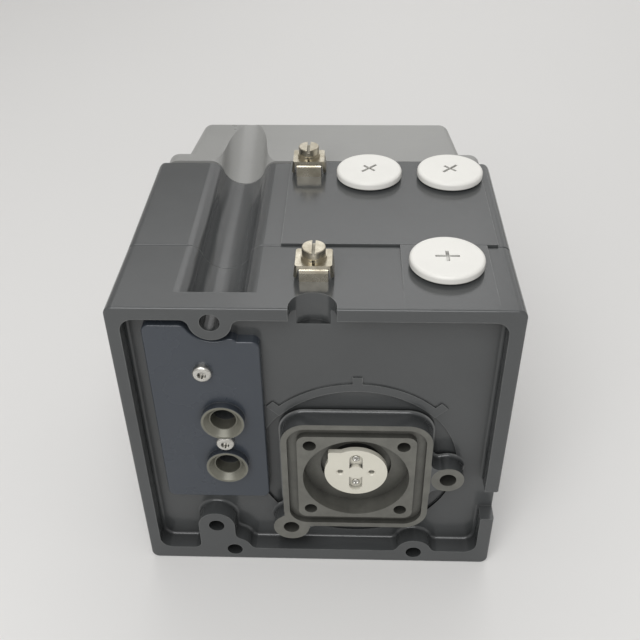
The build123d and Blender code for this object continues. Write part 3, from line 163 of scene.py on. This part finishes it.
def blendValue(tree, factor, a, b):
    # inputs 2 and 3 and output 0 of the mix node are its plain values
    return put(tree, "ShaderNodeMix", {"Factor": factor, 2: a, 3: b}, data_type="FLOAT").outputs[0]


def edgeMask(tree, radius, gain):
    # 1 along edges: where the normal rounded over the radius leaves the true one
    rounded = put(tree, "ShaderNodeBevel", {"Radius": radius}, samples=4).outputs[0]
    flat = put(tree, "ShaderNodeNewGeometry").outputs["Normal"]
    dot = put(tree, "ShaderNodeVectorMath", {0: rounded, 1: flat}, operation="DOT_PRODUCT").outputs["Value"]
    return calc(tree, "MULTIPLY", calc(tree, "SUBTRACT", 1.0, dot), gain, clamp=True)


def paintedRecessShade(tree, reach, depth):
    # painted shade: 1 on open faces, down to 1 - depth inside holes, slots and inner corners narrower than the
    # reach; the colour is multiplied by it, so these places are darkened as if in shade
    node = put(tree, "ShaderNodeAmbientOcclusion", {"Distance": reach}, samples=6, only_local=True)
    return spread(tree, node.outputs["AO"], "paintedRecessShade", 1.0 - depth, 1.0)


def darken(tree, color, factor):
    node = put(tree, "ShaderNodeVectorMath", {0: color}, operation="SCALE")
    tree.links.new(factor, node.inputs["Scale"])
    return node.outputs[0]


def shade(color, factor):
    return (color[0] * factor, color[1] * factor, color[2] * factor, 1.0)


def newTree(name):
    material = bpy.data.materials.new(name)
    material.use_nodes = True
    tree = material.node_tree
    tree.nodes.clear()
    return material, tree


def objectPlace(tree):
    return put(tree, "ShaderNodeTexCoord").outputs["Object"]


def mottled(tree, pattern, color, shift):
    # the colour, darker and lighter by the shift as the pattern goes
    return blendColor(tree, spread(tree, pattern, "cloud"), shade(color, 1 - shift), shade(color, 1 + shift))


def bumps(tree, height):
    return put(tree, "ShaderNodeBump", {"Height": height, "Distance": 1.0, "Strength": 1.0}).outputs[0]


def finishTree(tree, color, rough, metallic=0.0, normal=None, ior=1.5):
    shader = put(tree, "ShaderNodeBsdfPrincipled",
                 {"Base Color": color, "Roughness": rough, "Metallic": metallic, "IOR": ior})
    if normal is not None:
        tree.links.new(normal, shader.inputs["Normal"])
    put(tree, "ShaderNodeOutputMaterial", {"Surface": shader.outputs[0]})


def pointLength(tree, a, b):
    # the square root of a a + b b
    return calc(tree, "SQRT", calc(tree, "ADD", calc(tree, "MULTIPLY", a, a), calc(tree, "MULTIPLY", b, b)))


def roundBox(tree, x, z, centre, half, corner):
    # distance to a square with rounded corners: below 0 inside it
    dx = calc(tree, "SUBTRACT", calc(tree, "ABSOLUTE", calc(tree, "SUBTRACT", x, centre[0])), half - corner)
    dz = calc(tree, "SUBTRACT", calc(tree, "ABSOLUTE", calc(tree, "SUBTRACT", z, centre[1])), half - corner)
    outX = calc(tree, "MAXIMUM", dx, 0.0)
    outZ = calc(tree, "MAXIMUM", dz, 0.0)
    out = pointLength(tree, outX, outZ)
    inside = calc(tree, "MINIMUM", calc(tree, "MAXIMUM", dx, dz), 0.0)
    return calc(tree, "SUBTRACT", calc(tree, "ADD", out, inside), corner)


def roundSpot(tree, x, z, centre, radius):
    # distance to a circle: below 0 inside it
    dx = calc(tree, "SUBTRACT", x, centre[0])
    dz = calc(tree, "SUBTRACT", z, centre[1])
    return calc(tree, "SUBTRACT", pointLength(tree, dx, dz), radius)


def paintedCasting(name, cfg, bareMask=None):
    # sprayed paint over cast metal: mottled colour, orange peel, worn edges with a painted highlight along
    # every edge, painted shade in recesses and bare machined faces
    material, tree = newTree(name)
    place = objectPlace(tree)
    cloud = noise(tree, place, cfg["cloudScale"], 4.0, 0.6)
    speck = spread(tree, noise(tree, place, cfg["speckScale"], 3.0, 0.7), "speck")
    edgeWearAndHighlight = (*cfg["wornEdgeAndHighlightColor"], 1.0)
    color = mottled(tree, cloud, cfg["color"], cfg["shift"])
    color = blendColor(tree, calc(tree, "MULTIPLY", speck, cfg["speck"]), color,
                       shade(cfg["color"], cfg["speckTone"]))
    rough = spread(tree, cloud, "cloud", cfg["rough"] - cfg["roughShift"], cfg["rough"] + cfg["roughShift"])
    edge = edgeMask(tree, cfg["edgeRadius"], cfg["edgeGain"])
    rub = calc(tree, "MULTIPLY", edge, spread(tree, noise(tree, place, cfg["rubScale"], 5.0, 0.7), "rub"))
    color = blendColor(tree, calc(tree, "MULTIPLY", rub, cfg["rub"]), color, edgeWearAndHighlight)
    # painted highlight: every edge lightened towards the same light colour as the wear, whether worn or not
    color = blendColor(tree, calc(tree, "MULTIPLY", edge, cfg["edgeHighlight"]), color, edgeWearAndHighlight)
    metallic = 0.0
    peel = calc(tree, "MULTIPLY", noise(tree, place, cfg["peelScale"], 2.0, 0.5), cfg["peelDepth"])
    cast = calc(tree, "MULTIPLY", noise(tree, place, cfg["castScale"], 3.0, 0.6), cfg["castDepth"])
    if bareMask is not None:
        bare = bareMask(tree, place)
        stain = noise(tree, place, cfg["stainScale"], 5.0, 0.65)
        bareRough = spread(tree, stain, "cloud", cfg["bareRough"] - cfg["bareRoughShift"],
                           cfg["bareRough"] + cfg["bareRoughShift"])
        color = blendColor(tree, bare, color, mottled(tree, stain, cfg["bareColor"], cfg["bareShift"]))
        rough = blendValue(tree, bare, rough, bareRough)
        metallic = calc(tree, "MULTIPLY", bare, cfg["bareMetal"])
    # painted shade: the paint colour darkened in holes, slots and inner corners
    color = darken(tree, color, paintedRecessShade(tree, cfg["recessShadeReach"], cfg["recessShadeDepth"]))
    finishTree(tree, color, rough, metallic, bumps(tree, calc(tree, "ADD", peel, cast)), cfg["ior"])
    return material


paintSettings = {
    "color": (0.060, 0.063, 0.064), "shift": 0.05, "cloudScale": 28.0,
    "speck": 0.10, "speckScale": 900.0, "speckTone": 1.9,
    "rough": 0.19, "roughShift": 0.03, "ior": 1.5,
    # the edge highlight share paints a lighter line along every edge; the light edge colour serves both the
    # wear and that painted highlight
    "edgeRadius": 0.0006, "edgeGain": 3.0, "edgeHighlight": 0.26,
    "rub": 0.45, "rubScale": 160.0, "wornEdgeAndHighlightColor": (0.24, 0.245, 0.24),
    # painted shade in recesses: how far it reaches and how dark it gets
    "recessShadeReach": 0.014, "recessShadeDepth": 0.7,
    "peelScale": 1500.0, "peelDepth": 0.000012, "castScale": 260.0, "castDepth": 0.00003,
    "bareColor": (0.138, 0.137, 0.122), "bareShift": 0.18, "stainScale": 120.0,
    "bareRough": 0.42, "bareRoughShift": 0.07, "bareMetal": 0.35,
}
# the cover's light edge colour serves both its wear and its painted edge highlight
coverSettings = dict(paintSettings, color=(0.27, 0.27, 0.26), wornEdgeAndHighlightColor=(0.5, 0.5, 0.5), rough=0.3)
plateSettings = dict(paintSettings, color=(0.038, 0.045, 0.056), rough=0.26, bareColor=(0.16, 0.157, 0.128))
flangeSettings = {"centre": (0.015, 0.0505), "half": 0.0285, "corner": 0.0095, "rightEar": (0.0504, 0.0505),
                  "rightRadius": 0.0062, "leftEar": (-0.0108, 0.021), "leftRadius": 0.0072, "skin": 0.00025,
                  "faceDepth": 0.0001}
nippleSettings = {"upper": (-0.0344, 0.0792), "lower": (-0.0344, 0.0556), "radius": 0.00815, "skin": 0.0002}


def nearRear(tree, place, depth):
    # 1 where a point lies within that depth of the mounting face
    y = put(tree, "ShaderNodeSeparateXYZ", {0: place}).outputs[1]
    return calc(tree, "LESS_THAN", y, rearY + depth)


def machinedFlange(tree, place):
    # the flange's face and everything inside it; its outer walls stay painted
    cfg = flangeSettings
    parts = put(tree, "ShaderNodeSeparateXYZ", {0: place})
    x, z = parts.outputs[0], parts.outputs[2]
    shape = roundBox(tree, x, z, cfg["centre"], cfg["half"], cfg["corner"])
    shape = calc(tree, "MINIMUM", shape, roundSpot(tree, x, z, cfg["rightEar"], cfg["rightRadius"]))
    shape = calc(tree, "MINIMUM", shape, roundSpot(tree, x, z, cfg["leftEar"], cfg["leftRadius"]))
    inner = calc(tree, "LESS_THAN", shape, -cfg["skin"])
    face = calc(tree, "MULTIPLY", calc(tree, "LESS_THAN", shape, cfg["skin"]),
                nearRear(tree, place, cfg["faceDepth"]))
    return calc(tree, "MAXIMUM", inner, face)


def machinedNipples(tree, place):
    # the nipples' end faces and their conical seats
    cfg = nippleSettings
    parts = put(tree, "ShaderNodeSeparateXYZ", {0: place})
    x, z = parts.outputs[0], parts.outputs[2]
    shape = calc(tree, "MINIMUM", roundSpot(tree, x, z, cfg["upper"], cfg["radius"]),
                 roundSpot(tree, x, z, cfg["lower"], cfg["radius"]))
    return calc(tree, "LESS_THAN", shape, -cfg["skin"])


def plainMetal(name, cfg):
    # plated or turned metal: fine grain in the colour and gloss, slight stains, a painted highlight along the
    # edges and painted shade in recesses
    material, tree = newTree(name)
    place = objectPlace(tree)
    stain = noise(tree, place, cfg["stainScale"], 5.0, 0.6)
    grain = noise(tree, place, cfg["grainScale"], 2.0, 0.5)
    color = blendColor(tree, spread(tree, stain, "stain"), (*cfg["color"], 1.0), (*cfg["stainColor"], 1.0))
    edge = calc(tree, "MULTIPLY", edgeMask(tree, cfg["edgeRadius"], cfg["edgeGain"]), cfg["edgeHighlight"])
    # painted highlight: the metal colour made lighter along the edges
    color = blendColor(tree, edge, color, shade(cfg["color"], cfg["edgeHighlightLift"]))
    # painted shade: the metal colour darkened in holes, sockets and inner corners
    color = darken(tree, color, paintedRecessShade(tree, cfg["recessShadeReach"], cfg["recessShadeDepth"]))
    rough = calc(tree, "ADD", spread(tree, stain, "cloud", cfg["rough"] - cfg["roughDrop"],
                                     cfg["rough"] + cfg["roughRise"]),
                 spread(tree, grain, "cloud", -cfg["grainRough"], cfg["grainRough"]))
    normal = bumps(tree, calc(tree, "MULTIPLY", grain, cfg["grainDepth"]))
    finishTree(tree, color, rough, cfg["metallic"], normal)
    return material


def mouldedPlastic(name, cfg):
    # moulded plastic or rubber: faint mottling, fine texture, dust in the grain, painted shade in recesses
    material, tree = newTree(name)
    place = objectPlace(tree)
    cloud = noise(tree, place, cfg["cloudScale"], 4.0, 0.55)
    grain = noise(tree, place, cfg["grainScale"], 2.0, 0.5)
    color = mottled(tree, cloud, cfg["color"], cfg["shift"])
    dust = spread(tree, noise(tree, place, cfg["dustScale"], 3.0, 0.7), "dust")
    color = blendColor(tree, calc(tree, "MULTIPLY", dust, cfg["dust"]), color, (*cfg["dustColor"], 1.0))
    # painted shade: the plastic colour darkened in holes, recesses and inner corners
    color = darken(tree, color, paintedRecessShade(tree, cfg["recessShadeReach"], cfg["recessShadeDepth"]))
    rough = spread(tree, cloud, "cloud", cfg["rough"] - cfg["roughShift"], cfg["rough"] + cfg["roughShift"])
    finishTree(tree, color, rough, normal=bumps(tree, calc(tree, "MULTIPLY", grain, cfg["grainDepth"])))
    return material


metalBase = {
    "stainScale": 220.0, "grainScale": 2600.0, "grainDepth": 0.000004, "grainRough": 0.03,
    # the edge highlight share and lift paint a lighter line along the metal's edges
    "edgeRadius": 0.0003, "edgeGain": 2.0, "edgeHighlight": 0.5, "edgeHighlightLift": 1.25,
    "metallic": 1.0, "rough": 0.26, "roughDrop": 0.06, "roughRise": 0.08,
    # painted shade in the metal's recesses: how far it reaches and how dark it gets
    "recessShadeReach": 0.0022, "recessShadeDepth": 0.8,
}
plasticBase = {
    "cloudScale": 60.0, "grainScale": 3000.0, "grainDepth": 0.000004, "shift": 0.03,
    "dust": 0.12, "dustScale": 540.0, "dustColor": (0.4, 0.39, 0.37), "rough": 0.42, "roughShift": 0.05,
    # painted shade in the plastic's recesses: how far it reaches and how dark it gets
    "recessShadeReach": 0.0018, "recessShadeDepth": 0.55,
}
paneSettings = {"color": (0.9, 0.93, 0.93, 1.0), "rough": 0.03, "smearRough": 0.08, "smearScale": 80.0,
                "ior": 1.49}


def clearPane(name, cfg):
    # clear plastic with faint smears in its gloss
    material, tree = newTree(name)
    smear = noise(tree, objectPlace(tree), cfg["smearScale"], 4.0, 0.6)
    rough = spread(tree, smear, "smear", cfg["rough"], cfg["rough"] + cfg["smearRough"])
    shader = put(tree, "ShaderNodeBsdfPrincipled", {"Base Color": cfg["color"], "Roughness": rough,
                                                    "Transmission Weight": 1.0, "IOR": cfg["ior"]})
    put(tree, "ShaderNodeOutputMaterial", {"Surface": shader.outputs[0]})
    return material


metalFinishes = {
    "zinc_steel": ("zincSteel", {"color": (0.66, 0.65, 0.62), "stainColor": (0.5, 0.49, 0.45)}),
    "nickel_steel": ("nickelSteel", {"color": (0.53, 0.495, 0.41), "stainColor": (0.36, 0.325, 0.25),
                                     "rough": 0.3}),
    "shaft_steel": ("shaftSteel", {"color": (0.56, 0.56, 0.55), "stainColor": (0.42, 0.42, 0.41)}),
    "bronze": ("sinteredBronze", {"color": (0.45, 0.3, 0.14), "stainColor": (0.3, 0.19, 0.09), "rough": 0.45}),
    "aluminium": ("machinedAluminium", {"color": (0.62, 0.62, 0.63), "stainColor": (0.5, 0.5, 0.51),
                                        "rough": 0.36}),
    "magnet_nickel": ("magnetNickel", {"color": (0.6, 0.58, 0.54), "stainColor": (0.5, 0.48, 0.45),
                                       "rough": 0.2}),
}
plasticFinishes = {
    "seal_rubber": ("sealRubber", {"color": (0.012, 0.012, 0.012), "rough": 0.62, "dust": 0.06}),
    # the coupling gets a deeper painted shade in its small holes
    "coupling_plastic": ("couplingPlastic", {"color": (0.62, 0.60, 0.52), "rough": 0.34, "dust": 0.05,
                                             "recessShadeDepth": 0.85}),
    "plug_plastic": ("plugPlastic", {"color": (0.78, 0.77, 0.73), "dust": 0.04}),
    "board_green": ("boardGreen", {"color": (0.012, 0.09, 0.035), "rough": 0.3}),
    "chip_black": ("chipBlack", {"color": (0.015, 0.015, 0.016), "rough": 0.45}),
    "terminal_plastic": ("terminalGreen", {"color": (0.02, 0.13, 0.05)}),
    "carrier_plastic": ("carrierGrey", {"color": (0.03, 0.032, 0.035)}),
    "display_glass": ("displayGlass", {"color": (0.16, 0.19, 0.15), "rough": 0.15, "dust": 0.02}),
}
looks = {
    "frame_paint": paintedCasting("castingPaint", paintSettings, machinedFlange),
    "cover_paint": paintedCasting("coverPaint", coverSettings),
    "plate_paint": paintedCasting("platePaint", plateSettings, machinedNipples),
    "pane": clearPane("windowPane", paneSettings),
}
for slotName, (name, own) in metalFinishes.items():
    looks[slotName] = plainMetal(name, dict(metalBase, **own))
for slotName, (name, own) in plasticFinishes.items():
    looks[slotName] = mouldedPlastic(name, dict(plasticBase, **own))
nodeSlots = {part["node"]: part["material_slot"] for part in frame["record"]["subparts"]}


def dressNode(obj, material):
    # the node keeps its mesh; every slot of it gets the finish
    if not obj.material_slots:
        obj.data.materials.append(material)
    for entry in obj.material_slots:
        entry.material = material


for nodeName, obj in nodes.items():
    dressNode(obj, looks[nodeSlots[nodeName]])
print("finishes put on", len(nodes), "nodes")

# small cross-slotted screws, one in each end of the coupling's slot
pinSettings = {
    "place": (0.015, 0.0505), "reach": 0.0066, "floor": 0.0047,
    "radius": 0.0015, "height": 0.0006, "socket": 0.0008, "socketDepth": 0.0005, "cross": (0.294, 0.42, 0.42),
    "dome": ((0.75, 1.0), (0.93, 0.88), (1.0, 0.6)),  # shares of the radius and the height
    "upperTurn": 0.5, "lowerTurn": 0.15, "steps": 48, "merge": 0.000001,
}


def mergePoints(obj, distance):
    # points closer than the distance become one, which closes the poles
    work = bmesh.new()
    work.from_mesh(obj.data)
    bmesh.ops.remove_doubles(work, verts=work.verts, dist=distance)
    work.to_mesh(obj.data)
    work.free()


def crossHead(name, cfg, side, turn):
    # radius r = r0 (1 + k cos 4(u - turn)) along the socket's wall, u the angle round the screw's own axis;
    # the profile starts on the axis in the socket and ends on it under the head
    radius, socket, high = cfg["radius"], cfg["socket"], cfg["height"]
    low = high - cfg["socketDepth"]
    dome = np.array(cfg["dome"])
    r0 = np.concatenate([[0.0, 0.5 * socket, socket, socket], radius * dome[:, 0], [radius, 0.0]])
    lift = np.concatenate([[low, low, low, high], high * dome[:, 1], [0.0, 0.0]])
    k = np.zeros(len(r0))
    k[1:4] = cfg["cross"]
    u = np.linspace(0.0, 2 * math.pi, cfg["steps"], endpoint=False)
    r = r0[:, None] * (1 + k[:, None] * np.cos(4 * (u[None, :] - turn)))
    x = cfg["place"][0] + r * np.cos(u)
    z = cfg["place"][1] + side * cfg["reach"] + r * np.sin(u)
    y = np.broadcast_to((rearY + cfg["floor"] - lift)[:, None], r.shape)
    obj = surfaceMesh(name, np.stack([x, y, z], -1), closed=True)
    mergePoints(obj, cfg["merge"])
    obj.data.materials.append(looks["zinc_steel"])
    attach(obj, "feedback_drive")


crossHead("couplingScrewUpper", pinSettings, 1, pinSettings["upperTurn"])
crossHead("couplingScrewLower", pinSettings, -1, pinSettings["lowerTurn"])
print("coupling screws made")

lightSettings = {
    "worldStrength": 0.42, "worldColor": (1.0, 0.995, 0.985), "backColor": (0.56, 0.55, 0.545),
    "lamps": {
        "softFront": {"place": (-0.15, -0.8, 0.9), "size": 0.9, "power": 10.0},
        "softBack": {"place": (0.32, 0.85, 0.66), "size": 1.0, "power": 1.7},
        "softHigh": {"place": (-0.08, 0.66, 0.98), "size": 0.8, "power": 2.0},
    },
    "target": (0.0, 0.0, 0.07),
}


def makeFloorFinish(cfg):
    material, tree = newTree("floorPaper")
    cloud = noise(tree, objectPlace(tree), cfg["cloudScale"])
    finishTree(tree, mottled(tree, cloud, cfg["color"], cfg["shift"]), cfg["rough"])
    return material


def makeLights(cfg):
    world = bpy.data.worlds.new("studioWorld")
    bpy.context.scene.world = world
    world.use_nodes = True
    tree = world.node_tree
    tree.nodes.clear()
    path = put(tree, "ShaderNodeLightPath")  # the lens, glossy faces and clear ones see the plain back colour
    seen = calc(tree, "MAXIMUM", calc(tree, "MAXIMUM", path.outputs["Is Camera Ray"],
                                      path.outputs["Is Glossy Ray"]), path.outputs["Is Transmission Ray"])
    fill = put(tree, "ShaderNodeBackground", {"Color": (*cfg["worldColor"], 1.0),
                                              "Strength": cfg["worldStrength"]})
    back = put(tree, "ShaderNodeBackground", {"Color": (*cfg["backColor"], 1.0), "Strength": 1.0})
    mix = put(tree, "ShaderNodeMixShader", {0: seen, 1: fill.outputs[0], 2: back.outputs[0]})
    put(tree, "ShaderNodeOutputWorld", {"Surface": mix.outputs[0]})
    for name, lamp in cfg["lamps"].items():
        data = bpy.data.lights.new(name, "AREA")
        data.size = lamp["size"]
        data.energy = lamp["power"]
        obj = bpy.data.objects.new(name, data)
        place = Vector(lamp["place"])
        aim = (Vector(cfg["target"]) - place).to_track_quat("-Z", "Y")
        obj.matrix_world = Matrix.Translation(place) @ aim.to_matrix().to_4x4()
        bpy.context.scene.collection.objects.link(obj)


floor = makeFloor(floorSettings)
floor.data.materials.append(makeFloorFinish(floorSettings))
makeLights(lightSettings)
bpy.context.scene.view_settings.view_transform = "Standard"
print("floor and lights set")
